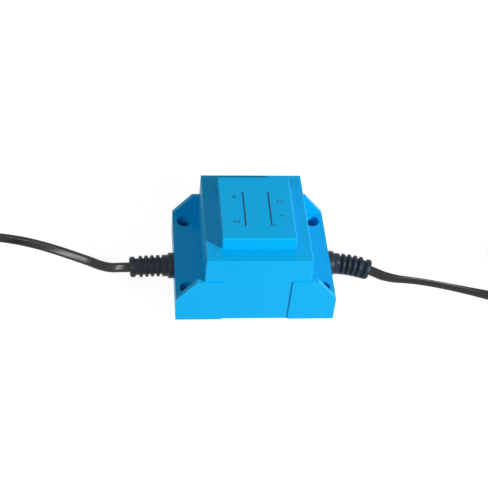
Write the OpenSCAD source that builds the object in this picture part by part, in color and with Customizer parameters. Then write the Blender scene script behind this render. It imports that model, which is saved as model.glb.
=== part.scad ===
// Encapsulated isolation transformer: a moulded case with two screw-down feet, a laminated core with
// a two-section coil potted inside it, and a flat flying cord out of each side wall.
// Millimetres, Z up, origin at the middle of the case's underside, cords leave along X.

/* [Core and coil] */
// Width of the lamination's centre leg, which sets every other lamination size
tongue_w = 20; // [18:0.5:22]
// Height of the lamination stack
stack_h = 21; // [18:0.5:24]
// Height of the core's underside above the base
core_z = 16; // [15:0.5:18]
// Clearance between the centre leg and the bobbin
leg_clear = 0.2; // [0.1:0.05:0.4]
// Wall of the bobbin's tube and flanges
bobbin_wall = 1; // [0.8:0.1:1.2]
// Clearance between the bobbin's flanges and the core
flange_clear = 0.1; // [0.05:0.05:0.2]
// Height of the coil's flanges above and below the core stack
flange_rise = 9.5; // [9:0.25:10]
// Depth of the winding below the flange's rim
winding_recess = 0.5; // [0.4:0.1:0.8]
// Thickness of the tape round each winding
tape_t = 0.3; // [0.2:0.1:0.4]
// Diameter of a terminal pin
pin_d = 0.9; // [0.8:0.1:1.1]
// Distance of the terminal pins from the middle, along the rail
pin_y = 9; // [8:0.5:11]
// Diameter of the enamelled wire's tail
tail_d = 0.8; // [0.6:0.1:0.9]
// Diameter of the thermal fuse
fuse_d = 4; // [3.5:0.1:4.4]
// Length of the thermal fuse
fuse_l = 11; // [10:0.5:12]

/* [Case] */
// Wall of the moulded case
wall = 2; // [1.6:0.1:2.4]
// Space between the core and the case's side walls
core_play_x = 1; // [0.8:0.1:1.5]
// Space between the core and the case's end walls
core_play_y = 1.2; // [0.6:0.1:1.6]
// Space above the core
core_headroom = 3.6; // [3:0.1:5]
// Space between the coil and the raised cap, along X
cap_play_x = 2.4; // [1.5:0.1:3]
// Space between the coil and the raised cap, along Y
cap_play_y = 2; // [0.8:0.1:2.6]
// Space above the coil
cap_headroom = 1.1; // [0.8:0.1:2]
// How far each side wall leans in by the top
side_draft = 0.7; // [0.3:0.1:0.8]
// How far each wall of the raised cap leans in by its top
cap_draft = 0.2; // [0.1:0.1:0.4]
// Radius of the upright corners
corner_r = 1; // [0.6:0.1:1.6]
// Chamfer round the top edges
edge_cut = 0.4; // [0.3:0.1:0.8]
// Width of each foot beside the body
foot_w = 14; // [13:0.5:18]
// Height of the feet
foot_h = 15.5; // [15:0.5:18]
// Height of the end plates
plate_h = 28; // [24:0.5:32]
// Thickness of the end plates
plate_t = 2.6; // [2.2:0.1:3]
// How far the end plates stand out from the body's end faces
plate_proud = 0.6; // [0.4:0.1:1.2]
// How far each end plate reaches in from the side
plate_reach = 24; // [20:0.5:26]
// Width of the slope at the end plate's outer top corner
plate_slope = 10.5; // [8:0.5:12]
// How much wider the end plate is at its foot
plate_flare = 0.5; // [0.3:0.1:0.8]
// Diameter of the screw's bore
screw_bore = 4.5; // [4.3:0.1:5.3]
// Diameter of the sunk seat for the screw's head
screw_sink = 8.2; // [7.6:0.1:8.6]
// Depth of the sunk seat
sink_depth = 10; // [8:0.5:11]
// Distance of the screw's axis from the foot's outer wall
screw_in_x = 6.3; // [6:0.1:7]
// Distance of the screw's axis from the body's end face
screw_in_y = 7.9; // [7:0.1:9]
// Wall of the tube round each screw
boss_wall = 1.9; // [1.5:0.1:2.2]
// Depth of the resin's surface inside the case's rim
resin_recess = 1.5; // [1:0.1:2.5]

/* [Strain relief] */
// Diameter of the collar against the wall
collar_d = 14; // [12.5:0.1:14.5]
// Length of the collar
collar_l = 3.2; // [2.5:0.1:4]
// Diameter of the sleeve and the ribs
sleeve_d = 11.7; // [11:0.1:12.4]
// Length of the plain sleeve
sleeve_l = 3.3; // [2.5:0.1:4]
// Diameter of the neck between the ribs
neck_d = 9.1; // [8.4:0.1:9.6]
// Number of ribs
rib_count = 4; // [3:1:5]
// Length of one rib
rib_l = 2.1; // [1.8:0.1:2.3]
// Distance from one rib to the next
rib_pitch = 3.1; // [2.9:0.1:3.4]
// Width of the web that joins the ribs
web_w = 5; // [3:0.5:6]
// Diameter of the end bead
bead_d = 11.3; // [10.6:0.1:11.8]
// Length of the end bead
bead_l = 3.6; // [3:0.1:4]
// Diameter of the flange inside the case
inner_flange_d = 11; // [10.6:0.1:11]
// Length of the flange inside the case
inner_flange_l = 2; // [1.5:0.1:2.5]
// Clearance of the neck in the case's wall
neck_clear = 0.05; // [0.02:0.01:0.1]
// Bend of the strain relief on the mains side, in degrees
mains_bend = 19; // [5:1:22]
// Bend of the strain relief on the output side, in degrees
output_bend = 4; // [2:1:12]
// Place of the mains strain relief along the side wall
mains_y = -0.3; // [-3:0.1:3]
// Place of the output strain relief along the side wall
output_y = -1.4; // [-3:0.1:3]

/* [Cord] */
// Width of the flat cord
cord_w = 5.3; // [4.8:0.1:5.6]
// Thickness of the flat cord
cord_t = 3.3; // [3:0.1:3.5]
// Diameter of one insulated core
core_d = 2.1; // [1.8:0.1:2.3]
// Length of the jacket inside the case
stub_l = 4; // [3:0.5:5]
// Radius of the outermost turn's middle in the coil
coil_r = 31; // [30:0.5:34]
// Distance from one turn of the coil to the next
coil_pitch = 3.5; // [3.4:0.1:3.7]
// Number of turns in the coil
coil_turns = 2.25; // [2.25:1:3.25]
// Thickness of the tie round the coil
tie_t = 0.6; // [0.5:0.1:0.8]
// Width of the tie
tie_w = 4; // [3:0.5:6]
// Length of the bare tinned tips
tip_l = 7; // [5:0.5:10]
// Diameter of the bare tinned tips
tip_d = 1.2; // [1:0.1:1.4]

/* [Hidden] */
$fn = 64;
blue = [0.02, 0.57, 0.9];
black = [0.09, 0.1, 0.11];

// Lamination: the shares of the centre leg's width that waste no sheet when it is stamped
yoke = tongue_w / 2;
core_len = 3 * tongue_w;
core_wid = 2.5 * tongue_w;
window_l = 1.5 * tongue_w;
core_top = core_z + stack_h;
core_mid = core_z + stack_h / 2;

// Bobbin and windings
flange_x = window_l / 2 - flange_clear;
flange_y = tongue_w / 2 + yoke - 2 * flange_clear;
flange_z = stack_h / 2 + flange_rise;
tube_y = tongue_w / 2 + leg_clear + bobbin_wall;
tube_z = stack_h / 2 + leg_clear + bobbin_wall;
winding_y = flange_y - winding_recess - tape_t;
winding_z = flange_z - winding_recess - tape_t;
winding_x0 = bobbin_wall / 2 + flange_clear;
winding_x1 = flange_x - bobbin_wall - flange_clear;
coil_low = core_mid - flange_z;
rail_out = 3;
rail_h = 4;
rail_half = pin_y + 5;
rail_z = coil_low + 1.5;
pin_x = flange_x + rail_out / 2;
pin_seat = 3;
pin_low = 4;
tail_z = core_mid - winding_z + tail_d / 2;
tail_clear = 0.2;
winding_r = 3;
lead_d = 0.8;
fuse_x = pin_x + 3.4;
fuse_z = 5.5;
lead_l = 1.2;

// Case
body_w = core_wid + 2 * (core_play_x + wall);
body_d = core_len + 2 * (core_play_y + wall);
body_h = core_top + core_headroom + wall;
cap_w = 2 * (flange_x + cap_play_x + wall);
cap_d = 2 * (flange_y + cap_play_y + wall);
case_h = core_mid + flange_z + cap_headroom + wall;
cap_h = case_h - body_h;
base_w = body_w + 2 * foot_w;
base_d = body_d + 2 * plate_proud;
foot_end_wall = wall + 0.5;
inner_r = 0.5;
inner_cut = 0.3;
screw_x = base_w / 2 - screw_in_x;
screw_y = body_d / 2 - screw_in_y;
cord_z = foot_h / 2;
stub_x = base_w / 2 - wall - inner_flange_l - stub_l;

// Strain relief, measured out from the case's side wall
ribs_start = collar_l + sleeve_l + rib_pitch - rib_l;
bead_start = ribs_start + rib_count * rib_pitch + 0.5;
relief_l = bead_start + bead_l;
bend_from = collar_l / 2;
bend_to = relief_l - bead_l / 2;
bend_l = bend_to - bend_from;
hang = 34;
web_depth = 0.15;
mains_web = 11;
output_web = 79;

// Cords, from the strain relief's tip to where the coil takes them in
coil_x = 172;
mains_coil_y = 4;
output_coil_y = -5;
entry_l = 15;
coil_z = tie_t + cord_w / 2;
coil_out = coil_r + cord_t / 2;
coil_in = coil_r - coil_turns * coil_pitch - cord_t / 2;
wire_bend_r = 11;
wire_sweep = 75;
wire_turn = 2;
wire_low = core_d / 2 + tie_t;
wire_high = wire_low + core_d + 0.1;
mains_route = [
    [72, -6.2, 4.3], [77.5, -7, 3], [83, -7.5, 2.3], [88.5, -8.2, 2.2], [98.5, -10.3, 2.2],
    [110, -13.5, 2.2], [121, -17, 2.3], [132, -20.9, 2.6], [143, -24.6, 3], [151, -26.6, 3.1]
];
mains_tilt = [45, 40, 10, -15, -25, -28, -25, -10, 30, 65, 85, 90];
output_route = [
    [-71, -1.6, 6.6], [-76, 0, 4.9], [-81.5, 3, 3.5], [-87, 6.6, 2.8], [-93, 9.8, 2.5],
    [-103, 14.6, 2.5], [-114, 19.2, 2.6], [-125, 22.8, 2.7], [-137, 25.2, 2.9], [-149, 26, 3.1]
];
output_tilt = [-45, -45, -45, -45, -45, -45, -48, -55, -65, -75, -85, -90];

// Path of a boot that bends evenly from inside its collar to inside its end bead:
// [along, sideways, turn] at the distance s
function boot_at(s, bend) =
    let (r = bend_l / (bend * PI / 180), turn = bend * max(0, min(1, (s - bend_from) / bend_l)))
    let (before = min(s, bend_from), after = max(0, s - bend_to))
    [before + r * sin(turn) + after * cos(turn), r * (1 - cos(turn)) + after * sin(turn), turn];
function unit(v) = v / norm(v);
// Tip of a boot as a point, and the direction it points in
function boot_tip(side, y, bend) =
    let (p = boot_at(relief_l, bend))
    [side * (base_w / 2 + p[0]), y - p[1] * cos(hang), cord_z - p[1] * sin(hang)];
function boot_aim(side, bend) =
    [side * cos(bend), -sin(bend) * cos(hang), -sin(bend) * sin(hang)];
// Section of the flat cord: a stadium in twelve points
function cord_section() = [
    for (a = [0 : 30 : 330])
        [(cos(a) >= 0 ? 1 : -1) * (cord_w - cord_t) / 2 + cord_t / 2 * cos(a), cord_t / 2 * sin(a)]
];
// A section set at p, square to the direction t and tilted by the angle a about it
function ring(section, p, t, a) =
    let (s = unit(cross([0, 0, 1], t)), u = cross(t, s))
    [for (q = section) p + (s * cos(a) + u * sin(a)) * q[0] + (u * cos(a) - s * sin(a)) * q[1]];
// Directions at the points: given at both ends, and along the neighbours between them
function aims_along(points, first, final) = [
    for (i = [0 : len(points) - 1])
        i == 0 ? first : i == len(points) - 1 ? final : unit(points[i + 1] - points[i - 1])
];

module rounded_rect(w, d, r) {
    square([w - 2 * r, d], center = true);
    square([w, d - 2 * r], center = true);
    for (x = [-1, 1], y = [-1, 1])
        translate([x * (w / 2 - r), y * (d / 2 - r)]) circle(r);
}

// Outline that leans in by lean over its height and ends in a chamfer; a wall that stays upright is
// left to the block's own plan
module side_profile(w, h, lean, cut) {
    out = lean > 0 ? 0 : 1;
    right = [
        [w / 2 + out, -1], [w / 2 + out, 0], [w / 2 - lean + out, h - cut - out], [w / 2 - lean - cut, h]
    ];
    polygon(concat(right, [for (i = [3 : -1 : 0]) [-right[i][0], right[i][1]]]));
}

// Upright block with round corners, walls that lean in by the given amounts, and a chamfered top edge
module drafted_block(size, h, lean, r, cut) {
    intersection() {
        linear_extrude(height = h) rounded_rect(size[0], size[1], r);
        rotate([90, 0, 0]) linear_extrude(height = size[1] + 2, center = true)
            side_profile(size[0], h, lean[0], cut);
        rotate([90, 0, 90]) linear_extrude(height = size[0] + 2, center = true)
            side_profile(size[1], h, lean[1], cut);
    }
}

module ring_prism(w, d, h, r, inner_w, inner_d) {
    linear_extrude(height = h) difference() {
        rounded_rect(w, d, r);
        square([inner_w, inner_d], center = true);
    }
}

// Closed tube through rings of points that all have the same number of points
module skin(rings) {
    n = len(rings[0]);
    last = len(rings) - 1;
    polyhedron(
        points = [for (r = rings) for (p = r) p],
        faces = concat(
            [[for (k = [0 : n - 1]) k]],
            [for (i = [0 : last - 1]) for (k = [0 : n - 1]) each [
                [i * n + k, (i + 1) * n + k, (i + 1) * n + (k + 1) % n],
                [i * n + k, (i + 1) * n + (k + 1) % n, i * n + (k + 1) % n]
            ]],
            [[for (k = [n - 1 : -1 : 0]) last * n + k]]
        ),
        convexity = 4
    );
}

// Round wire through a list of points, square to the given directions at its two ends
module wire(points, d, first, final) {
    aims = aims_along(points, first, final);
    section = [for (a = [0 : 45 : 315]) [d / 2 * cos(a), d / 2 * sin(a)]];
    skin([for (i = [0 : len(points) - 1]) ring(section, points[i], aims[i], 0)]);
}

// Case
module screw_spots() {
    for (x = [0, 1], y = [0, 1]) mirror([x, 0, 0]) mirror([0, y, 0])
        translate([screw_x, screw_y, 0]) children();
}

// Tube round a screw, filled out into the corner of the walls
module screw_tube() {
    tube_h = foot_h + 2;
    translate([0, 0, -2]) {
        cylinder(d = screw_sink + 2 * boss_wall, h = tube_h);
        cube([screw_in_x, screw_in_y, tube_h]);
    }
}

module case_cavity() {
    foot_in = [base_w - 2 * wall, body_d - 2 * foot_end_wall];
    body_in = [body_w - 2 * wall, body_d - 2 * wall];
    cap_in = [cap_w - 2 * wall, cap_d - 2 * wall];
    difference() {
        union() {
            translate([-foot_in[0] / 2, -foot_in[1] / 2, -1])
                cube([foot_in[0], foot_in[1], foot_h - wall + 1]);
            drafted_block(body_in, body_h - wall, [side_draft, 0], inner_r, inner_cut);
            translate([0, 0, body_h - wall - 1])
                drafted_block(cap_in, cap_h + 1, [cap_draft, cap_draft], inner_r, inner_cut);
        }
        screw_spots() screw_tube();
    }
}

module end_plate() {
    top_x = base_w / 2 - plate_slope;
    inner_x = base_w / 2 - plate_reach;
    rotate([90, 0, 0]) linear_extrude(height = plate_t) polygon([
        [inner_x - plate_flare, 0], [base_w / 2, 0], [base_w / 2, foot_h],
        [top_x, plate_h], [inner_x, plate_h]
    ]);
}

module case() {
    color(blue) difference() {
        union() {
            translate([-base_w / 2, -body_d / 2, 0]) cube([base_w, body_d, foot_h]);
            drafted_block([body_w, body_d], body_h, [side_draft, 0], corner_r, edge_cut);
            translate([0, 0, body_h - 1])
                drafted_block([cap_w, cap_d], cap_h + 1, [cap_draft, cap_draft], corner_r, edge_cut);
            for (x = [0, 1], y = [0, 1]) mirror([x, 0, 0]) mirror([0, y, 0])
                translate([0, base_d / 2, 0]) end_plate();
        }
        case_cavity();
        screw_spots() {
            translate([0, 0, -1]) cylinder(d = screw_bore, h = foot_h + 2);
            translate([0, 0, foot_h - sink_depth]) cylinder(d = screw_sink, h = sink_depth + 1);
        }
        for (side = [-1, 1])
            translate([side * (base_w / 2 - wall / 2), side > 0 ? mains_y : output_y, cord_z])
                rotate([0, 90, 0]) cylinder(d = neck_d + 2 * neck_clear, h = wall + 2, center = true);
    }
}

// Resin that fills the case round the core, the coil and the wires
module potting_resin() {
    color([0.13, 0.13, 0.14]) difference() {
        case_cavity();
        translate([-base_w, -base_d, -foot_h]) cube([2 * base_w, 2 * base_d, foot_h + resin_recess]);
        translate([-core_wid / 2, -core_len / 2, core_z]) cube([core_wid, core_len, stack_h]);
        translate([-flange_x, -flange_y, coil_low]) cube([2 * flange_x, 2 * flange_y, 2 * flange_z]);
        rails();
        for (side = [-1, 1]) {
            winding_tails(side, pin_d / 2);
            terminal_pins(side);
        }
        fuse_body();
        fuse_wires(pin_d / 2);
        live_path();
        neutral_path(pin_d / 2);
        red_path(pin_d / 2);
        black_path(pin_d / 2);
        for (side = [-1, 1]) {
            jacket_end(side);
            relief_anchor(side);
        }
    }
}

// Core: E sheets whose legs run along X, closed by the I sheets
module core_e_stack() {
    color([0.35, 0.36, 0.38]) translate([0, 0, core_z]) linear_extrude(height = stack_h) difference() {
        translate([-core_wid / 2, -core_len / 2]) square([core_wid - yoke, core_len]);
        for (side = [-1, 1])
            translate([-window_l / 2, side * (tongue_w / 2 + yoke / 2) - yoke / 2])
                square([window_l + 1, yoke]);
    }
}

module core_i_stack() {
    color([0.4, 0.41, 0.43]) translate([window_l / 2, -core_len / 2, core_z])
        cube([yoke, core_len, stack_h]);
}

// Terminal rails of the bobbin, under the core
module rails() {
    for (side = [-1, 1])
        translate([side > 0 ? flange_x : -flange_x - rail_out, -rail_half, rail_z])
            cube([rail_out, 2 * rail_half, rail_h]);
}

module flange(x, t) {
    translate([x, -flange_y, coil_low]) cube([t, 2 * flange_y, 2 * flange_z]);
}

module bobbin() {
    notch_h = tail_z - coil_low + tail_d / 2 + tail_clear;
    color([0.87, 0.85, 0.78]) difference() {
        union() {
            translate([-flange_x, -tube_y, core_mid - tube_z]) cube([2 * flange_x, 2 * tube_y, 2 * tube_z]);
            flange(-flange_x, bobbin_wall);
            flange(-bobbin_wall / 2, bobbin_wall);
            flange(flange_x - bobbin_wall, bobbin_wall);
            rails();
        }
        translate([-flange_x - 1, -tongue_w / 2 - leg_clear, core_z - leg_clear])
            cube([2 * flange_x + 2, tongue_w + 2 * leg_clear, stack_h + 2 * leg_clear]);
        for (side = [-1, 1], y = [-1, 1]) {
            translate([side * (flange_x - bobbin_wall / 2), y * pin_y, coil_low])
                cube([bobbin_wall + 1, tail_d + 2 * tail_clear, 2 * notch_h], center = true);
            translate([side * pin_x, y * pin_y, rail_z - 1]) cylinder(d = pin_d, h = 1 + pin_seat, $fn = 24);
        }
    }
}

// One winding as a rounded ring round the bobbin's tube, on the side given
module winding_ring(side, out_y, out_z, in_y, in_z) {
    translate([side > 0 ? winding_x0 : -winding_x1, 0, core_mid]) rotate([90, 0, 90])
        ring_prism(2 * out_y, 2 * out_z, winding_x1 - winding_x0, winding_r, 2 * in_y, 2 * in_z);
}

// Wire tails from inside the winding to the pins, or further into them by sunk
module winding_tails(side, sunk = 0) {
    tail_l = pin_x - pin_d / 2 - winding_x1 + 1 + sunk;
    for (y = [-1, 1])
        translate([side * (winding_x1 - 1), y * pin_y, tail_z])
            rotate([0, side * 90, 0]) cylinder(d = tail_d, h = tail_l, $fn = 24);
}

module winding(side) {
    winding_ring(side, winding_y, winding_z, tube_y, tube_z);
    winding_tails(side);
}

module tape(side) {
    translate([side > 0 ? winding_x0 : -winding_x1, 0, core_mid]) rotate([90, 0, 90])
        linear_extrude(height = winding_x1 - winding_x0) difference() {
            rounded_rect(2 * (winding_y + tape_t), 2 * (winding_z + tape_t), winding_r + tape_t);
            rounded_rect(2 * winding_y, 2 * winding_z, winding_r);
        }
}

module primary_winding() { color([0.72, 0.4, 0.2]) winding(1); }
module secondary_winding() { color([0.75, 0.44, 0.22]) winding(-1); }
module primary_tape() { color([0.93, 0.8, 0.25]) tape(1); }
module secondary_tape() { color([0.93, 0.8, 0.25]) tape(-1); }

// Two pins pressed into a rail from below
module terminal_pins(side) {
    for (y = [-1, 1]) translate([side * pin_x, y * pin_y, pin_low])
        cylinder(d = pin_d, h = rail_z + pin_seat - pin_low, $fn = 24);
}

module primary_pins() { color([0.8, 0.8, 0.78]) terminal_pins(1); }
module secondary_pins() { color([0.8, 0.8, 0.78]) terminal_pins(-1); }

// Thermal fuse between the live core and the primary's first pin
module fuse_body() {
    translate([fuse_x, pin_y, fuse_z]) rotate([0, 90, 0]) cylinder(d = fuse_d, h = fuse_l);
}

// The fuse's two leads, to the pin and to the live core, or further into them by sunk
module fuse_wires(sunk = 0) {
    inner_l = fuse_x - pin_x - pin_d / 2 + sunk;
    for (x_and_l = [[fuse_x - inner_l, inner_l], [fuse_x + fuse_l, lead_l + sunk]])
        translate([x_and_l[0], pin_y, fuse_z]) rotate([0, 90, 0])
            cylinder(d = lead_d, h = x_and_l[1], $fn = 24);
}

module thermal_fuse() { color([0.9, 0.9, 0.88]) fuse_body(); }
module fuse_leads() { color([0.78, 0.78, 0.76]) fuse_wires(); }

// Insulated cores inside the case, from the jacket's end to the terminals
function core_start(side, y, up) = [side * stub_x, y + up * (cord_w - cord_t) / 2, cord_z];

module live_path() {
    live_x = fuse_x + fuse_l + lead_l + core_d / 2;
    wire(
        [core_start(1, mains_y, 1), [live_x, mains_y + 3.5, cord_z - 0.5], [live_x, pin_y + 1, fuse_z]],
        core_d, [-1, 0, 0], [0, 1, 0]
    );
}

// The other cores run straight in, then slant down to their pin
module plain_path(side, y, across, sunk) {
    wire([
        core_start(side, y, across), [side * (stub_x - 3), y + across * 2, cord_z],
        [side * (pin_x + 5), across * pin_y, fuse_z],
        [side * (pin_x + pin_d / 2 - sunk), across * pin_y, fuse_z]
    ], core_d, [-side, 0, 0], [-side, 0, 0]);
}

module neutral_path(sunk = 0) { plain_path(1, mains_y, -1, sunk); }
module red_path(sunk = 0) { plain_path(-1, output_y, 1, sunk); }
module black_path(sunk = 0) { plain_path(-1, output_y, -1, sunk); }

module mains_live_core() { color([0.4, 0.22, 0.12]) live_path(); }
module mains_neutral_core() { color([0.1, 0.25, 0.6]) neutral_path(); }
module output_red_core() { color([0.7, 0.1, 0.1]) red_path(); }
module output_black_core() { color(black) black_path(); }

// Flat jacket between the strain relief's inner flange and the cores
module jacket_end(side) {
    translate([side > 0 ? stub_x : -stub_x - stub_l, side > 0 ? mains_y : output_y, cord_z])
        rotate([90, 0, 90]) linear_extrude(height = stub_l) {
            square([cord_w - cord_t, cord_t], center = true);
            for (x = [-1, 1]) translate([x * (cord_w - cord_t) / 2, 0]) circle(d = cord_t);
        }
}

module mains_jacket_end() { color(black) jacket_end(1); }
module output_jacket_end() { color(black) jacket_end(-1); }

// Strain relief: neck in the wall and flange behind it, then collar, sleeve, ribs and end bead
module relief_anchor(side) {
    inside = wall + inner_flange_l;
    translate([side * (base_w / 2), side > 0 ? mains_y : output_y, cord_z]) rotate([0, -side * 90, 0]) {
        cylinder(d = neck_d, h = inside);
        translate([0, 0, wall]) cylinder(d = inner_flange_d, h = inner_flange_l);
    }
}

// Disc with its two edges rounded off, standing on its end
module soft_disc(d, h, edge) {
    rotate_extrude() polygon([
        [0, 0], [d / 2 - edge, 0], [d / 2 - edge * 0.3, edge * 0.3], [d / 2, edge],
        [d / 2, h - edge], [d / 2 - edge * 0.3, h - edge * 0.3], [d / 2 - edge, h], [0, h]
    ]);
}

// Places a child at distance s along the boot, square to its axis there
module on_boot(s, bend) {
    p = boot_at(s, bend);
    translate([p[1], 0, p[0]]) rotate([0, p[2], 0]) children();
}

// Sweeps a flat section, centred on the boot's axis, along its bend
module along_bend(bend) {
    bend_r = bend_l / (bend * PI / 180);
    translate([bend_r, 0, bend_from]) rotate([90, 0, 0]) mirror([1, 0, 0])
        rotate_extrude(angle = bend, $fn = 96) translate([bend_r, 0]) children();
}

// Boot standing on the wall along Z, bending towards X, with a web that joins its ribs on one side
module boot(bend, web) {
    overlap = 0.2;
    soft_disc(collar_d, collar_l, 0.5);
    along_bend(bend) circle(d = neck_d, $fn = 48);
    along_bend(bend) intersection() {
        circle(d = bead_d - 2 * web_depth, $fn = 48);
        rotate(180 + web) translate([0, -web_w / 2]) square([sleeve_d / 2, web_w]);
    }
    on_boot(collar_l - overlap, bend) soft_disc(sleeve_d, sleeve_l + overlap, 0.3);
    for (i = [0 : rib_count - 1])
        on_boot(ribs_start + i * rib_pitch, bend) soft_disc(sleeve_d, rib_l, 0.5);
    on_boot(relief_l, bend) translate([0, 0, -bead_l]) soft_disc(bead_d, bead_l, 1);
}

// A boot on the wall of one side, turned so that its bend goes forwards and down
module strain_relief(side, y, bend, web) {
    turn = side > 0 ? hang - 180 : -hang;
    color(black) {
        relief_anchor(side);
        translate([side * base_w / 2, y, cord_z]) rotate([0, 0, side > 0 ? 0 : 180])
            rotate([turn, 0, 0]) rotate([0, 90, 0]) rotate([0, 0, 90]) boot(bend, web);
    }
}

module mains_strain_relief() { strain_relief(1, mains_y, mains_bend, mains_web); }
module output_strain_relief() { strain_relief(-1, output_y, output_bend, output_web); }

// Free cord: from the boot's tip along its route to the coil's entry
function coil_entry(side) = [
    side * (coil_x - entry_l), (side > 0 ? mains_coil_y : output_coil_y) - side * coil_r, coil_z
];

module free_cord(side, y, bend, route, tilts) {
    points = concat([boot_tip(side, y, bend)], route, [coil_entry(side)]);
    aims = aims_along(points, boot_aim(side, bend), [side, 0, 0]);
    skin([for (i = [0 : len(points) - 1]) ring(cord_section(), points[i], aims[i], tilts[i])]);
}

module mains_cord() { color(black) free_cord(1, mains_y, mains_bend, mains_route, mains_tilt); }
module output_cord() { color(black) free_cord(-1, output_y, output_bend, output_route, output_tilt); }

// Coil on edge, turned so that the cord enters along X and winds inwards
module at_coil(side) {
    translate([side * coil_x, side > 0 ? mains_coil_y : output_coil_y, 0])
        rotate([0, 0, side > 0 ? 0 : 180]) children();
}

module cord_coil(side) {
    at_coil(side) {
        translate([0, 0, tie_t]) rotate_extrude() translate([coil_in, 0])
            square([coil_out - coil_in, cord_w]);
        translate([-entry_l, -coil_out, tie_t]) cube([entry_l, cord_t, cord_w]);
    }
}

module mains_cord_coil() { color(black) cord_coil(1); }
module output_cord_coil() { color(black) cord_coil(-1); }

// Band round the coil's turns, opposite the cord's entry
module coil_tie(side) {
    band = coil_out - coil_in + 2 * tie_t;
    at_coil(side) translate([-tie_w / 2, coil_in - tie_t, 0]) difference() {
        cube([tie_w, band, cord_w + 2 * tie_t]);
        translate([tie_w / 2, -coil_in + tie_t, tie_t]) difference() {
            cylinder(r = coil_out, h = cord_w);
            translate([0, 0, -1]) cylinder(r = coil_in, h = cord_w + 2);
        }
    }
}

module mains_coil_tie() { color([0.15, 0.15, 0.16]) coil_tie(1); }
module output_coil_tie() { color([0.15, 0.15, 0.16]) coil_tie(-1); }

// Loose end inside the coil: two insulated wires that curve in from the innermost turn
module at_coil_end(side) {
    at_coil(side) rotate([0, 0, (coil_turns - floor(coil_turns)) * 360 - 90 + wire_turn])
        translate([coil_in, 0, 0]) children();
}

module end_wire(side, level) {
    at_coil_end(side) translate([-wire_bend_r, 0, level])
        rotate_extrude(angle = wire_sweep, $fn = 96)
            translate([wire_bend_r - core_d / 2, 0]) circle(d = core_d, $fn = 24);
}

module end_tip(side, level) {
    at_coil_end(side) translate([-wire_bend_r, 0, level]) rotate([0, 0, wire_sweep])
        translate([wire_bend_r - core_d / 2, 0, 0]) rotate([-90, 0, 0])
            cylinder(d = tip_d, h = tip_l, $fn = 24);
}

module mains_brown_wire() { color([0.4, 0.22, 0.12]) end_wire(1, wire_high); }
module mains_blue_wire() { color([0.1, 0.25, 0.6]) end_wire(1, wire_low); }
module output_red_wire() { color([0.7, 0.1, 0.1]) end_wire(-1, wire_high); }
module output_black_wire() { color(black) end_wire(-1, wire_low); }

module tips(side) {
    end_tip(side, wire_low);
    end_tip(side, wire_high);
}

module mains_tips() { color([0.75, 0.75, 0.73]) tips(1); }
module output_tips() { color([0.75, 0.75, 0.73]) tips(-1); }

case();
potting_resin();
core_e_stack();
core_i_stack();
bobbin();
primary_winding();
secondary_winding();
primary_tape();
secondary_tape();
primary_pins();
secondary_pins();
thermal_fuse();
fuse_leads();
mains_live_core();
mains_neutral_core();
output_red_core();
output_black_core();
mains_jacket_end();
output_jacket_end();
mains_strain_relief();
output_strain_relief();
mains_cord();
output_cord();
mains_cord_coil();
output_cord_coil();
mains_coil_tie();
output_coil_tie();
mains_brown_wire();
mains_blue_wire();
output_red_wire();
output_black_wire();
mains_tips();
output_tips();
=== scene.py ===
"""Looks of a potted isolation transformer: a blue moulded case with a flat black cord on each side.
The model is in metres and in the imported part's own frame, with Z up."""
import math

import bmesh
import bpy
from mathutils import Matrix, Vector


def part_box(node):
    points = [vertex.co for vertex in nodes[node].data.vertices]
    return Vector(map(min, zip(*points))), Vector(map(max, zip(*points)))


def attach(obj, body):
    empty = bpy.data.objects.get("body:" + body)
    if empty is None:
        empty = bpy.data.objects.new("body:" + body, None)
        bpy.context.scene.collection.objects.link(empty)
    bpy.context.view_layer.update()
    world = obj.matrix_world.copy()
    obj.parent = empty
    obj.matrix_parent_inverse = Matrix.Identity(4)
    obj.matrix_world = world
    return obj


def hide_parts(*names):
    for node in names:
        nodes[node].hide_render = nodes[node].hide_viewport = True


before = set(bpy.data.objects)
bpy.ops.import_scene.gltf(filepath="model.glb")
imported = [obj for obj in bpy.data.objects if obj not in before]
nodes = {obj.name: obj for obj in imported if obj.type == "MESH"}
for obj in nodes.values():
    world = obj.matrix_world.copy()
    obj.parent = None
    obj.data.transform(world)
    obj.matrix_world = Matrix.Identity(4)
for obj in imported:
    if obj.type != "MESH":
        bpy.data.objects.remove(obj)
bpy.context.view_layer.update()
MM = 0.001


# Camera at the photograph's angle, from the front, a little to the left and well above. Its place, axes
# and lens are the ones that fit the case's corners in the photograph.
CAMERA_X, CAMERA_Y, CAMERA_Z = -68.05 * MM, -453.3 * MM, 472.55 * MM
camera_data = bpy.data.cameras.new("camera")
camera = bpy.data.objects.new("camera", camera_data)
bpy.context.scene.collection.objects.link(camera)
camera_right = Vector((0.9951, -0.0718, 0.0678))
camera_down = Vector((-0.0024, -0.7043, -0.7099))
camera_view = Vector((0.0987, 0.7062, -0.7011))
camera.matrix_world = Matrix((
    (camera_right.x, -camera_down.x, -camera_view.x, CAMERA_X),
    (camera_right.y, -camera_down.y, -camera_view.y, CAMERA_Y),
    (camera_right.z, -camera_down.z, -camera_view.z, CAMERA_Z),
    (0, 0, 0, 1),
))
camera_data.sensor_width = 36
camera_data.lens = 88.26
camera_data.clip_start = 0.01
camera_data.clip_end = 20
bpy.context.scene.camera = camera


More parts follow.
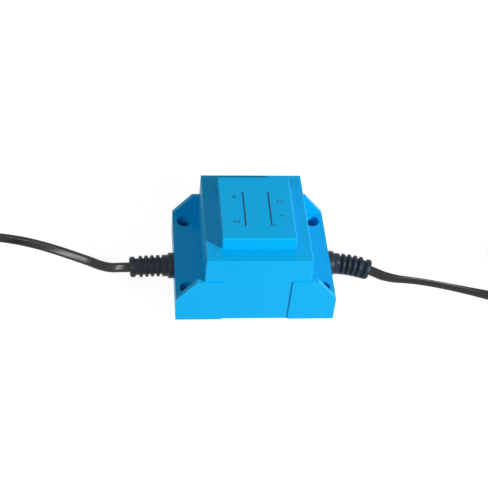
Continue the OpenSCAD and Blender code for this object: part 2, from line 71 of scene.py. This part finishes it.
# Boots of soft black plastic, moulded onto each cord. A flange and a neck hold the boot in the case's
# wall, and outside come a collar, a plain sleeve, four ribs and a bead. One web joins the ribs.
WALL_X = 42 * MM
WALL_T = 2 * MM
RELIEF_Z = 7.75 * MM
BOOT_L = 24 * MM
COLLAR_L = 3.2 * MM
SLEEVE_L = 3.3 * MM
RIB_L = 2.1 * MM
RIB_PITCH = 3.1 * MM
BEAD_L = 3.6 * MM
FLANGE_R, NECK_R, COLLAR_R, SLEEVE_R, GROOVE_R, BEAD_R = (
    5.5 * MM, 4.55 * MM, 7 * MM, 5.85 * MM, 4.55 * MM, 5.65 * MM
)
COLLAR_EDGE = 0.3 * MM
RIBS = 4
RIB_EDGE = 0.6 * MM
BEAD_EDGE = 1.1 * MM
CORE_R = 0.5 * MM
WEB_W = 5 * MM
WEB_R = 5.75 * MM
WEB_EDGE = 0.5 * MM
BOOT_STEPS = 96
SEAM_GAP = 0.001 * MM
SHARP_ANGLE = math.radians(40)
HANG = math.radians(34)
mains = {
    "side": 1, "y": -0.3 * MM, "bend": math.radians(19), "web": math.radians(225), "coil_y": 4 * MM,
    "wires": ("brown_wire", "blue_wire"),
    "route": [
        (72, -6.2, 4.3), (77.5, -7, 3), (83, -7.5, 2.3), (88.5, -8.2, 2.2), (98.5, -10.3, 2.2),
        (110, -13.5, 2.2), (121, -17, 2.3), (132, -20.9, 2.6), (143, -24.6, 3), (151, -26.6, 3.1),
    ],
    "tilt": [45, 40, 10, -15, -25, -28, -25, -10, 30, 65, 85, 90],
}
output = {
    "side": -1, "y": -1.4 * MM, "bend": math.radians(4), "web": math.radians(135), "coil_y": -5 * MM,
    "wires": ("red_wire", "black_wire"),
    "route": [
        (-71, -1.6, 6.6), (-76, 0, 4.9), (-81.5, 3, 3.5), (-87, 6.6, 2.8), (-93, 9.8, 2.5),
        (-103, 14.6, 2.5), (-114, 19.2, 2.6), (-125, 22.8, 2.7), (-137, 25.2, 2.9), (-149, 26, 3.1),
    ],
    "tilt": [-45, -45, -45, -45, -45, -45, -48, -55, -65, -75, -85, -90],
}


def boot_point(lead, s):
    """Point on a boot's axis at the distance s from the case's wall, and the direction there."""
    start, end = COLLAR_L / 2, BOOT_L - BEAD_L / 2
    radius = (end - start) / lead["bend"]
    turn = lead["bend"] * max(0.0, min(1.0, (s - start) / (end - start)))
    before, after = min(s, start), max(0.0, s - end)
    along = before + radius * math.sin(turn) + after * math.cos(turn)
    aside = radius * (1 - math.cos(turn)) + after * math.sin(turn)
    place = Vector((
        lead["side"] * (WALL_X + along),
        lead["y"] - aside * math.cos(HANG),
        RELIEF_Z - aside * math.sin(HANG),
    ))
    aim = Vector((
        lead["side"] * math.cos(turn), -math.sin(turn) * math.cos(HANG), -math.sin(turn) * math.sin(HANG)
    ))
    return place, aim


def add_object(name, bm, material):
    """Links a bmesh as a finished object at the origin, shaded smooth across all but its sharp edges."""
    bmesh.ops.recalc_face_normals(bm, faces=bm.faces)
    mesh = bpy.data.meshes.new(name)
    bm.to_mesh(mesh)
    bm.free()
    piece = bpy.data.objects.new(name, mesh)
    bpy.context.scene.collection.objects.link(piece)
    mesh.materials.append(material)
    mesh.shade_smooth()
    mesh.set_sharp_from_angle(angle=SHARP_ANGLE)
    return piece


def uneven_group():
    """Slow drift and fine grain over a moulded or extruded surface, as a mask and a height."""
    group = bpy.data.node_groups.new("moulded_surface", "ShaderNodeTree")
    face = group.interface
    for name in ("Drift size", "Grain size", "Grain"):
        face.new_socket(name, in_out="INPUT", socket_type="NodeSocketFloat")
    for name in ("Drift", "Height"):
        face.new_socket(name, in_out="OUTPUT", socket_type="NodeSocketFloat")
    inp, out = group.nodes.new("NodeGroupInput"), group.nodes.new("NodeGroupOutput")
    place = group.nodes.new("ShaderNodeTexCoord")
    drift = group.nodes.new("ShaderNodeTexNoise")
    grain = group.nodes.new("ShaderNodeTexNoise")
    scaled = group.nodes.new("ShaderNodeMath")
    total = group.nodes.new("ShaderNodeMath")
    scaled.operation, total.operation = "MULTIPLY", "ADD"
    drift.inputs["Detail"].default_value = 3
    grain.inputs["Detail"].default_value = 2
    link = group.links.new
    for noise, size in ((drift, "Drift size"), (grain, "Grain size")):
        link(place.outputs["Object"], noise.inputs["Vector"])
        link(inp.outputs[size], noise.inputs["Scale"])
    link(grain.outputs["Fac"], scaled.inputs[0])
    link(inp.outputs["Grain"], scaled.inputs[1])
    link(scaled.outputs[0], total.inputs[0])
    link(drift.outputs["Fac"], total.inputs[1])
    link(drift.outputs["Fac"], out.inputs["Drift"])
    link(total.outputs[0], out.inputs["Height"])
    return group


moulded_surface = uneven_group()
NOISE_LOW, NOISE_HIGH = 0.3, 0.7
SKIN_DEPTH = 0.1 * MM


def finish(name, light, dark, roughness, drift_size, grain_size, grain, bump, specular=0.5, metallic=0.0):
    """A surface whose colour and gloss drift a little between two values and whose skin is uneven."""
    material = bpy.data.materials.new(name)
    material.use_nodes = True
    tree = material.node_tree
    shader = tree.nodes["Principled BSDF"]
    shader.inputs["Specular IOR Level"].default_value = specular
    shader.inputs["Metallic"].default_value = metallic
    surface = tree.nodes.new("ShaderNodeGroup")
    surface.name = "surface"
    surface.node_tree = moulded_surface
    surface.inputs["Drift size"].default_value = drift_size
    surface.inputs["Grain size"].default_value = grain_size
    surface.inputs["Grain"].default_value = grain
    mix = tree.nodes.new("ShaderNodeMix")
    mix.name = "colour"
    mix.data_type = "RGBA"
    mix.inputs["A"].default_value = (*dark, 1)
    mix.inputs["B"].default_value = (*light, 1)
    ramp = tree.nodes.new("ShaderNodeMapRange")
    ramp.inputs["From Min"].default_value = NOISE_LOW
    ramp.inputs["From Max"].default_value = NOISE_HIGH
    ramp.inputs["To Min"].default_value = roughness[1]
    ramp.inputs["To Max"].default_value = roughness[0]
    height = tree.nodes.new("ShaderNodeBump")
    height.name = "height"
    height.inputs["Strength"].default_value = bump
    height.inputs["Distance"].default_value = SKIN_DEPTH
    link = tree.links.new
    link(surface.outputs["Drift"], mix.inputs["Factor"])
    link(mix.outputs["Result"], shader.inputs["Base Color"])
    link(surface.outputs["Drift"], ramp.inputs["Value"])
    link(ramp.outputs["Result"], shader.inputs["Roughness"])
    link(surface.outputs["Height"], height.inputs["Height"])
    link(height.outputs["Normal"], shader.inputs["Normal"])
    return material


def soft_step(s, low, high, width, edge):
    """Outline points of one raised ring of the boot, from the radius low up to high and back."""
    return [
        (s, low), (s + edge * 0.15, high - edge), (s + edge * 0.45, high - edge * 0.35), (s + edge, high),
        (s + width - edge, high), (s + width - edge * 0.45, high - edge * 0.35),
        (s + width - edge * 0.15, high - edge), (s + width, low),
    ]


def boot_outline():
    """Radius along the boot, from the flange inside the case to the bead's mouth round the cord."""
    ribs_start = COLLAR_L + SLEEVE_L + RIB_PITCH - RIB_L
    outline = [(-WALL_T * 2, CORE_R), (-WALL_T * 2, FLANGE_R), (-WALL_T, FLANGE_R), (-WALL_T, NECK_R)]
    outline += [(0, NECK_R), (0, COLLAR_R - COLLAR_EDGE), (COLLAR_EDGE, COLLAR_R)]
    outline += [(COLLAR_L - 0.6 * MM, COLLAR_R), (COLLAR_L - 0.2 * MM, COLLAR_R - 0.2 * MM)]
    outline += [(COLLAR_L, COLLAR_R - 0.6 * MM), (COLLAR_L + 0.5 * MM, SLEEVE_R)]
    sleeve_end = COLLAR_L + SLEEVE_L
    outline += [(sleeve_end - 0.4 * MM, SLEEVE_R), (sleeve_end - 0.1 * MM, SLEEVE_R - 0.25 * MM)]
    outline += [(sleeve_end, GROOVE_R)]
    for rib in range(RIBS):
        outline += soft_step(ribs_start + rib * RIB_PITCH, GROOVE_R, SLEEVE_R, RIB_L, RIB_EDGE)
    outline += soft_step(BOOT_L - BEAD_L, GROOVE_R, BEAD_R, BEAD_L, BEAD_EDGE)[:-1]
    outline += [(BOOT_L - 0.05 * MM, 3.6 * MM), (BOOT_L - 0.5 * MM, 2.2 * MM), (BOOT_L - 2 * MM, CORE_R)]
    return outline


def boot(lead):
    """Spins the boot's outline, raises the web between the ribs and bends the result along its axis."""
    bm = bmesh.new()
    line = [bm.verts.new((radius, 0, s)) for s, radius in boot_outline()]
    edges = [bm.edges.new(pair) for pair in zip(line, line[1:])]
    bmesh.ops.spin(
        bm, geom=line + edges, cent=(0, 0, 0), axis=(0, 0, 1), angle=2 * math.pi, steps=BOOT_STEPS,
        use_merge=True
    )
    bmesh.ops.remove_doubles(bm, verts=bm.verts, dist=SEAM_GAP)
    bmesh.ops.holes_fill(bm, edges=[e for e in bm.edges if e.is_boundary], sides=0)
    web_from, web_to = COLLAR_L + SLEEVE_L / 2, BOOT_L - BEAD_L / 2
    for vert in bm.verts:
        s, radius = vert.co.z, math.hypot(vert.co.x, vert.co.y)
        around = math.atan2(vert.co.y, vert.co.x)
        if web_from < s < web_to and GROOVE_R * 0.9 < radius < WEB_R:
            off = abs((around - lead["web"] + math.pi) % (2 * math.pi) - math.pi) * WEB_R
            lift = max(0.0, min(1.0, (WEB_W / 2 - off) / WEB_EDGE + 0.5))
            radius += (WEB_R - radius) * lift
        place, aim = boot_point(lead, s)
        out_z = Vector((0, 0, 1)) - aim * aim.z
        out_z.normalize()
        out_y = Vector((0, 1, 0)) - aim * aim.y
        out_y = (out_y - out_z * out_y.dot(out_z)).normalized()
        vert.co = place + radius * (out_y * math.cos(around) + out_z * math.sin(around))
    return bm


# The boots' black carries a blue tint that is partly the plastic's own cool tone and partly painted light:
# the case's blue light bounced onto the boots is painted into their colour.
relief_black = finish(
    "relief_black", (0.008, 0.02, 0.033), (0.004, 0.011, 0.02), (0.3, 0.46), 90, 1200, 0.5, 0.3, 0.28
)
for lead_name, lead in (("mains", mains), ("output", output)):
    lead["boot"] = add_object(lead_name + "_boot", boot(lead), relief_black)
    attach(lead["boot"], "root")
    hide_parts(lead_name + "_strain_relief")


# Flat twin cords of soft black plastic, two insulated wires side by side under one jacket. Each lies
# on the table from its boot to a coil outside the picture, wound on edge, where its far end is bare.
CORD_W = 5.3 * MM
CORD_T = 3.3 * MM
CORD_GROOVE = 0.3 * MM
CORD_GROOVE_W = 0.6 * MM
CORD_IN = 2.5 * MM
SECTION_STEPS = 32
SPAN_STEPS = 6
TURN_STEPS = 40
COIL_R = 31 * MM
COIL_PITCH = 3.5 * MM
COIL_TURNS = 2.25
COIL_X = 172 * MM
COIL_LIFT = 0.6 * MM
COIL_Z = COIL_LIFT + CORD_W / 2
ENTRY_L = 15 * MM


def smooth_between(points, tilts, first_aim, last_aim, steps):
    """Points and tilts along one smooth curve through the given points, with set directions at its ends."""
    spans = []
    aims = [first_aim] + [
        (points[i + 1] - points[i - 1]).normalized() for i in range(1, len(points) - 1)
    ] + [last_aim]
    for i in range(len(points) - 1):
        reach = (points[i + 1] - points[i]).length
        for k in range(steps):
            t = k / steps
            a, b = 2 * t ** 3 - 3 * t ** 2 + 1, t ** 3 - 2 * t ** 2 + t
            place = a * points[i] + (1 - a) * points[i + 1]
            place += reach * (b * aims[i] + (t ** 3 - t ** 2) * aims[i + 1])
            spans.append((place, tilts[i] * (1 - t) + tilts[i + 1] * t))
    spans.append((points[-1], tilts[-1]))
    return spans


def coil_line(lead):
    """Points of the coil from where the cord enters along X to its inner end, winding inwards."""
    centre = Vector((lead["side"] * COIL_X, lead["coil_y"], COIL_Z))
    line = []
    for i in range(int(COIL_TURNS * TURN_STEPS) + 1):
        wound = i / TURN_STEPS
        angle = math.radians(-90) + 2 * math.pi * wound
        radius = COIL_R - COIL_PITCH * wound
        spot = Vector((radius * math.cos(angle), radius * math.sin(angle), 0))
        line.append(centre + lead["side"] * spot)
    return line


def cord_line(lead):
    """The whole cord's centreline with its tilt in degrees at each point."""
    tip, aim = boot_point(lead, BOOT_L)
    entry = Vector((
        lead["side"] * (COIL_X - ENTRY_L), lead["coil_y"] - lead["side"] * COIL_R, COIL_Z
    ))
    points = [tip] + [Vector(p) * MM for p in lead["route"]] + [entry]
    free = smooth_between(points, lead["tilt"], aim, Vector((lead["side"], 0, 0)), SPAN_STEPS)
    inside = boot_point(lead, BOOT_L - CORD_IN)[0]
    wound = [(p, lead["tilt"][-1]) for p in coil_line(lead)]
    return [(inside, lead["tilt"][0])] + free + wound


def twin_section():
    """Outline of the twin jacket: two round halves with a shallow groove where they meet."""
    outline = []
    half = (CORD_W - CORD_T) / 2
    for i in range(SECTION_STEPS):
        angle = 2 * math.pi * (i + 0.5) / SECTION_STEPS
        x = math.copysign(half, math.cos(angle)) + CORD_T / 2 * math.cos(angle)
        y = CORD_T / 2 * math.sin(angle)
        groove = CORD_GROOVE * math.exp(-(x / CORD_GROOVE_W) ** 2)
        outline.append((x, y - math.copysign(groove, y)))
    middle = CORD_T / 2 - CORD_GROOVE
    outline.insert(SECTION_STEPS * 3 // 4, (0, -middle))
    outline.insert(SECTION_STEPS // 4, (0, middle))
    return outline


def sweep(line, section):
    """A closed tube of the section along a line of (point, tilt), with its length in a UV map."""
    bm = bmesh.new()
    uv = bm.loops.layers.uv.new("along")
    rings = []
    reached = [0.0]
    for i, (place, tilt) in enumerate(line):
        before, after = line[max(i - 1, 0)][0], line[min(i + 1, len(line) - 1)][0]
        aim = (after - before).normalized()
        side = Vector((0, 0, 1)).cross(aim).normalized()
        up = aim.cross(side)
        angle = math.radians(tilt)
        wide = side * math.cos(angle) + up * math.sin(angle)
        thick = up * math.cos(angle) - side * math.sin(angle)
        rings.append([bm.verts.new(place + wide * x + thick * y) for x, y in section])
        if i:
            reached.append(reached[-1] + (place - line[i - 1][0]).length)
    count = len(section)
    for i in range(len(rings) - 1):
        for k in range(count):
            face = bm.faces.new((
                rings[i][k], rings[i + 1][k], rings[i + 1][(k + 1) % count], rings[i][(k + 1) % count]
            ))
            corners = ((k, i), (k, i + 1), (k + 1, i + 1), (k + 1, i))
            for loop, (across, along) in zip(face.loops, corners):
                loop[uv].uv = (across / count, reached[along] / MM)
    bm.faces.new(rings[0])
    bm.faces.new(list(reversed(rings[-1])))
    return bm


cord_black = finish(
    "cord_black", (0.007, 0.009, 0.011), (0.004, 0.005, 0.007), (0.17, 0.22), 60, 700, 0.15, 0.03, 0.45
)
for lead_name, lead in (("mains", mains), ("output", output)):
    line = cord_line(lead)
    cord = add_object(lead_name + "_cord_jacket", sweep(line, twin_section()), cord_black)
    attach(cord, "root")
    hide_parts(lead_name + "_cord", lead_name + "_cord_coil")


def dress(material, *names):
    """Gives CAD nodes a finish in place of the plain one that they came with."""
    for name in names:
        nodes[name].data.materials.clear()
        nodes[name].data.materials.append(material)


# Ties are thin straps of dull black plastic, one round each coil. Each is pulled tight and lies flat
# against the outer turn.
tie_black = finish(
    "tie_black", (0.022, 0.022, 0.024), (0.014, 0.014, 0.015), (0.4, 0.55), 120, 1500, 0.6, 0.4
)
dress(tie_black, "mains_coil_tie", "output_coil_tie")


# Insulated wires come out of the cords' far ends with bare tips, and others run to the terminals inside
# the case. Each has a coloured extruded sleeve over fine copper strands.
WIRES = {
    "wire_brown": ((0.17, 0.065, 0.03), "mains_brown_wire", "mains_live_core"),
    "wire_blue": ((0.02, 0.09, 0.42), "mains_blue_wire", "mains_neutral_core"),
    "wire_red": ((0.5, 0.02, 0.02), "output_red_wire", "output_red_core"),
    "wire_black": ((0.016, 0.016, 0.018), "output_black_wire", "output_black_core"),
}
SHADE = 0.75
for name, (colour, *wires) in WIRES.items():
    darker = tuple(c * SHADE for c in colour)
    dress(finish(name, colour, darker, (0.3, 0.45), 150, 1500, 0.4, 0.2), *wires)
dress(cord_black, "mains_jacket_end", "output_jacket_end")


# The case is one shell of satin blue plastic, moulded with slightly leaning walls and soft edges.
# Its four end plates and the tubes for the screws are part of the same moulding.
MERGE_GAP = 0.004 * MM
FLAT_ANGLE = math.radians(1)
EDGE_ANGLE = math.radians(28)
EDGE_R = 0.35 * MM
EDGE_STEPS = 3
case_blue = finish(
    "case_blue", (0.0, 0.392, 0.775), (0.0, 0.366, 0.725), (0.3, 0.42), 28, 1400, 0.3, 0.1, 0.15
)


def merged_copy(node):
    """A bmesh of a CAD node with its loose triangles joined and flat faces made whole."""
    bm = bmesh.new()
    bm.from_mesh(nodes[node].data)
    bmesh.ops.remove_doubles(bm, verts=bm.verts, dist=MERGE_GAP)
    bmesh.ops.dissolve_limit(
        bm, angle_limit=FLAT_ANGLE, verts=bm.verts, edges=bm.edges, delimit={"NORMAL"}
    )
    return bm


case_bm = merged_copy("case")
sharp = [
    e for e in case_bm.edges
    if len(e.link_faces) == 2 and e.calc_face_angle(0) > EDGE_ANGLE and e.is_convex
]
bmesh.ops.bevel(
    case_bm, geom=sharp, offset=EDGE_R, offset_type="OFFSET", affect="EDGES", segments=EDGE_STEPS,
    profile=0.5, material=-1, clamp_overlap=True, miter_outer="SHARP"
)
case = add_object("case_shell", case_bm, case_blue)
case_finish = case.modifiers.new("flat_faces", "WEIGHTED_NORMAL")
case_finish.keep_sharp = True
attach(case, "root")
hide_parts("case")


# Resin, black and dull, fills the case to a little below its rim. It is poured into the open underside
# and sets round the core and the windings.
resin_black = finish(
    "resin_black", (0.02, 0.02, 0.022), (0.012, 0.012, 0.013), (0.35, 0.6), 45, 500, 0.6, 0.5
)
dress(resin_black, "potting_resin")


# Print on the cap in thin dark blue ink. The two windings are drawn as upright bars with a tick at each
# end, and a plain number stands beside each tick for the lead that starts there.
INK_T = 0.02 * MM
BAR_W = 0.75 * MM
TICK_W = 0.3 * MM
DIGIT_H = 3.1 * MM
DIGIT_SHARE = 0.7
CAP_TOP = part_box("case")[1][2]
BAR_BACK, BAR_FRONT = 11.7 * MM, -13.8 * MM
# Each row holds a bar's x, the reach of its back and front ticks, and the places of their two numbers
BARS = (
    (-6.5 * MM, (-1.4 * MM, -2.4 * MM), ((-11.2 * MM, 8.2 * MM), (-11.2 * MM, -10.8 * MM))),
    (6.9 * MM, (2.2 * MM, 2.3 * MM), ((12.6 * MM, 4.4 * MM), (12.6 * MM, -6.6 * MM))),
)


def flat_bar(bm, low, high):
    """Adds one printed bar between two corners on the cap's top."""
    size = Vector((high[0] - low[0], high[1] - low[1], 2 * INK_T))
    middle = Vector(((high[0] + low[0]) / 2, (high[1] + low[1]) / 2, CAP_TOP))
    bmesh.ops.create_cube(bm, size=1, matrix=Matrix.Translation(middle) @ Matrix.Diagonal((*size, 1)))


def printed_digit(bm, number, x, y):
    """Adds a printed number whose top points along X, as the rest of the print is read."""
    letters = bpy.data.curves.new("digit", "FONT")
    letters.body = str(number)
    letters.size = DIGIT_H / DIGIT_SHARE
    letters.extrude = INK_T
    letters.align_x = "CENTER"
    letters.align_y = "CENTER"
    shape = bpy.data.objects.new("digit", letters)
    mesh = bpy.data.meshes.new_from_object(shape)
    mesh.transform(Matrix.Translation((x, y, CAP_TOP)) @ Matrix.Rotation(math.radians(-90), 4, "Z"))
    bm.from_mesh(mesh)
    bpy.data.objects.remove(shape)
    bpy.data.curves.remove(letters)
    bpy.data.meshes.remove(mesh)


ink = finish(
    "print_ink", (0.004, 0.03, 0.07), (0.002, 0.018, 0.045), (0.4, 0.55), 300, 2500, 0.6, 0.3, 0.3
)
print_bm = bmesh.new()
number = 2 * len(BARS)
for bar_x, ticks, digits in BARS:
    flat_bar(print_bm, (bar_x - BAR_W / 2, BAR_FRONT), (bar_x + BAR_W / 2, BAR_BACK))
    for tick_y, tick, digit in zip((BAR_BACK, BAR_FRONT), ticks, digits):
        low_x, high_x = sorted((bar_x, bar_x + tick))
        flat_bar(print_bm, (low_x, tick_y - TICK_W / 2), (high_x, tick_y + TICK_W / 2))
        printed_digit(print_bm, number, *digit)
        number -= 1
cap_print = add_object("cap_print", print_bm, ink)
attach(cap_print, "root")


# Core of stamped steel sheets with blue-grey scale. The E sheets and the I sheets are two stacks that
# close round the bobbin and are sealed in the resin.
core_steel = finish(
    "core_steel", (0.32, 0.33, 0.35), (0.2, 0.21, 0.23), (0.4, 0.6), 60, 900, 0.8, 0.6, 0.5, 1.0
)
dress(core_steel, "core_e_stack", "core_i_stack")


# Bobbin moulded of natural nylon in two sections. Each section is wound with enamelled copper wire and
# wrapped in yellow polyester tape.
bobbin_nylon = finish(
    "bobbin_nylon", (0.75, 0.72, 0.62), (0.68, 0.64, 0.53), (0.4, 0.55), 60, 1200, 0.4, 0.2
)
copper_wire = finish(
    "copper_wire", (0.62, 0.25, 0.1), (0.5, 0.17, 0.06), (0.25, 0.4), 80, 2200, 0.8, 0.5, 0.5, 0.9
)
tape_yellow = finish(
    "tape_yellow", (0.85, 0.6, 0.08), (0.76, 0.5, 0.05), (0.2, 0.32), 90, 900, 0.3, 0.2
)
dress(bobbin_nylon, "bobbin")
dress(copper_wire, "primary_winding", "secondary_winding")
dress(tape_yellow, "primary_tape", "secondary_tape")


# Pins, fuse leads and bare wire ends are tinned copper. The pins stand in the bobbin's rails, and the
# thermal fuse is a white ceramic body between its two leads.
tinned_metal = finish(
    "tinned_metal", (0.72, 0.72, 0.7), (0.6, 0.6, 0.58), (0.25, 0.42), 200, 2500, 0.6, 0.3, 0.5, 1.0
)
fuse_white = finish(
    "fuse_white", (0.8, 0.8, 0.77), (0.74, 0.74, 0.7), (0.35, 0.5), 150, 1800, 0.5, 0.3
)
dress(tinned_metal, "primary_pins", "secondary_pins", "fuse_leads", "mains_tips", "output_tips")
dress(fuse_white, "thermal_fuse")


# Pale floor and white surroundings. One soft lamp shines low from the right front, a wide weak one from
# the left front gives the cords highlights, and the rest is the even light of a white room.
FLOOR_HALF = 4
FLOOR_COLOUR = 0.33
FLOOR_GLOW = 0.88
ROOM_LIGHT = 0.25
floor_material = bpy.data.materials.new("floor_white")
floor_material.use_nodes = True
floor_tree = floor_material.node_tree
floor_shader = floor_tree.nodes["Principled BSDF"]
floor_shader.inputs["Base Color"].default_value = (FLOOR_COLOUR, FLOOR_COLOUR, FLOOR_COLOUR, 1)
floor_shader.inputs["Roughness"].default_value = 0.9
floor_shader.inputs["Specular IOR Level"].default_value = 0.1
floor_shader.inputs["Emission Color"].default_value = (1, 1, 1, 1)


def seen_share(tree, low, high):
    """A value that is high where the camera, a reflection or glass sees it, and low for other light."""
    path = tree.nodes.new("ShaderNodeLightPath")
    either = tree.nodes.new("ShaderNodeMath")
    seen = tree.nodes.new("ShaderNodeMath")
    value = tree.nodes.new("ShaderNodeMapRange")
    either.operation = seen.operation = "MAXIMUM"
    value.inputs["To Min"].default_value = low
    value.inputs["To Max"].default_value = high
    tree.links.new(path.outputs["Is Camera Ray"], either.inputs[0])
    tree.links.new(path.outputs["Is Glossy Ray"], either.inputs[1])
    tree.links.new(either.outputs[0], seen.inputs[0])
    tree.links.new(path.outputs["Is Transmission Ray"], seen.inputs[1])
    tree.links.new(seen.outputs[0], value.inputs["Value"])
    return value.outputs["Result"]


floor_tree.links.new(seen_share(floor_tree, 0, FLOOR_GLOW), floor_shader.inputs["Emission Strength"])
floor_bm = bmesh.new()
bmesh.ops.create_grid(floor_bm, x_segments=1, y_segments=1, size=FLOOR_HALF)
floor = add_object("floor", floor_bm, floor_material)

world = bpy.data.worlds.new("world")
bpy.context.scene.world = world
world.use_nodes = True
room = world.node_tree.nodes["Background"]
room.inputs["Color"].default_value = (1, 1, 1, 1)
world.node_tree.links.new(seen_share(world.node_tree, ROOM_LIGHT, 1), room.inputs["Strength"])


LAMP_AIM = Vector((0, 0, 0.02))


def soft_lamp(name, place, width, height, power):
    """A rectangular area lamp that looks at the object."""
    data = bpy.data.lights.new(name, "AREA")
    data.shape = "RECTANGLE"
    data.size = width
    data.size_y = height
    data.energy = power
    lamp = bpy.data.objects.new(name, data)
    bpy.context.scene.collection.objects.link(lamp)
    lamp.location = place
    lamp.rotation_euler = (LAMP_AIM - lamp.location).to_track_quat("-Z", "Y").to_euler()


# The key's side angle turns from the right to the front, and the window's from the front to the left
KEY_SIDE = math.radians(38)
KEY_UP = math.radians(25)
KEY_AWAY = 1.6
KEY_SIZE = 0.22
KEY_POWER = 34
WINDOW_SIDE = math.radians(47)
WINDOW_UP = math.radians(34)
WINDOW_AWAY = 1.2
WINDOW_W, WINDOW_H = 0.6, 0.13
WINDOW_POWER = 2.8
key_place = KEY_AWAY * Vector((
    math.cos(KEY_UP) * math.cos(KEY_SIDE), -math.cos(KEY_UP) * math.sin(KEY_SIDE), math.sin(KEY_UP)
))
window_place = WINDOW_AWAY * Vector((
    -math.cos(WINDOW_UP) * math.sin(WINDOW_SIDE), -math.cos(WINDOW_UP) * math.cos(WINDOW_SIDE),
    math.sin(WINDOW_UP)
))
soft_lamp("key", key_place, KEY_SIZE, KEY_SIZE, KEY_POWER)
soft_lamp("window", window_place, WINDOW_W, WINDOW_H, WINDOW_POWER)

bpy.context.scene.view_settings.view_transform = "Standard"
